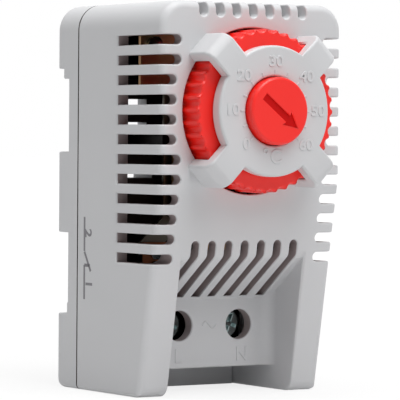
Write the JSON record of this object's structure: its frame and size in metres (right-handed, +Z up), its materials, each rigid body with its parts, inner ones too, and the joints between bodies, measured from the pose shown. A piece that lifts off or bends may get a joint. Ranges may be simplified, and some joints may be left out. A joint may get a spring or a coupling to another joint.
{
  "type": "din rail thermostat",
  "caption": "Narrow vented case for a DIN rail with a guarded red setting knob on a numbered temperature dial, a snap-action bimetal switch and screw terminals.",
  "frame": {"origin": "middle of the rail's height and of the case's width, in the plane of the rail's flanges", "axes": "+Z up along the height of the case, +Y backwards into the rail, +X to the right seen from the front"},
  "size_m": [0.033, 0.0378, 0.06],
  "materials": {
    "case_plastic": "fine spark-eroded moulded light grey",
    "red_plastic": "satin moulded red",
    "carrier_plastic": "moulded dark thermoset",
    "white_plastic": "moulded natural white",
    "brass": "turned brass",
    "bronze": "rolled bronze strip",
    "copper": "stamped copper",
    "bimetal": "rolled bimetal strip",
    "contact_silver": "silver contact rivet",
    "plated_steel": "zinc plated steel",
    "spring_steel": "bright spring steel",
    "magnet": "sintered magnet"
  },
  "bodies": {
    "case": {"front_cover": "case_plastic", "rear_base": "case_plastic", "inner_frame": "carrier_plastic", "friction_washer": "spring_steel", "snap_magnet": "magnet", "magnet_bracket": "bronze", "bracket_screws": "plated_steel", "terminal_bar_l": "copper", "terminal_bar_n": "copper", "latch_spring": "spring_steel"},
    "knob": {"setting_knob": "red_plastic", "setting_spindle": "brass", "retaining_ring": "spring_steel"},
    "nut": {"setting_nut": "white_plastic"},
    "contact_arm": {"contact_arm": "bronze", "arm_rivets": "plated_steel", "fixed_contact": "contact_silver", "calibration_screw": "brass"},
    "bimetal": {"bimetal_strip": "bimetal", "bimetal_rivets": "plated_steel", "moving_contact": "contact_silver", "armature_plate": "plated_steel"},
    "screw_l": {"terminal_screw_l": "plated_steel"},
    "screw_n": {"terminal_screw_n": "plated_steel"},
    "cage_l": {"clamp_cage_l": "plated_steel"},
    "cage_n": {"clamp_cage_n": "plated_steel"},
    "latch": {"rail_latch": "case_plastic"}
  },
  "joints": [
    {"name": "setting_turn", "type": "hinge", "parent": "case", "child": "knob", "pos_m": [0, -0.0273, 0.0125], "axis": [0, -1, 0], "range_deg": [0, 270]},
    {"name": "nut_slide", "type": "slide", "parent": "case", "child": "nut", "axis": [0, -1, 0], "range_m": [0, 0.0006]},
    {"name": "arm_flex", "type": "hinge", "parent": "case", "child": "contact_arm", "pos_m": [0, -0.0084, -0.014], "axis": [1, 0, 0], "range_deg": [0, 1.3]},
    {"name": "bimetal_flex", "type": "hinge", "parent": "case", "child": "bimetal", "pos_m": [0, -0.0075, -0.014], "axis": [-1, 0, 0], "range_deg": [0, 2], "stiffness_Nm_per_rad": 0.26},
    {"name": "terminal_turn_l", "type": "hinge", "parent": "case", "child": "screw_l", "pos_m": [-0.0055, -0.0126, -0.0207], "axis": [0, 1, 0], "range_deg": [0, 1260]},
    {"name": "clamp_slide_l", "type": "slide", "parent": "case", "child": "cage_l", "axis": [0, -1, 0], "range_m": [0, 0.00175]},
    {"name": "terminal_turn_n", "type": "hinge", "parent": "case", "child": "screw_n", "pos_m": [0.0055, -0.0126, -0.0207], "axis": [0, 1, 0], "range_deg": [0, 1260]},
    {"name": "clamp_slide_n", "type": "slide", "parent": "case", "child": "cage_n", "axis": [0, -1, 0], "range_m": [0, 0.00175]},
    {"name": "latch_slide", "type": "slide", "parent": "case", "child": "latch", "axis": [0, 0, -1], "range_m": [0, 0.0023], "stiffness_N_per_m": 800, "deforming": ["latch_spring"]}
  ],
  "couplings": [
    {"joint": "nut_slide", "follows": "setting_turn", "m_per_rad": 0.00012732},
    {"joint": "arm_flex", "follows": "setting_turn", "ratio": 0.0048},
    {"joint": "terminal_turn_l", "follows": "clamp_slide_l", "rad_per_m": 12566},
    {"joint": "terminal_turn_n", "follows": "clamp_slide_n", "rad_per_m": 12566}
  ]
}
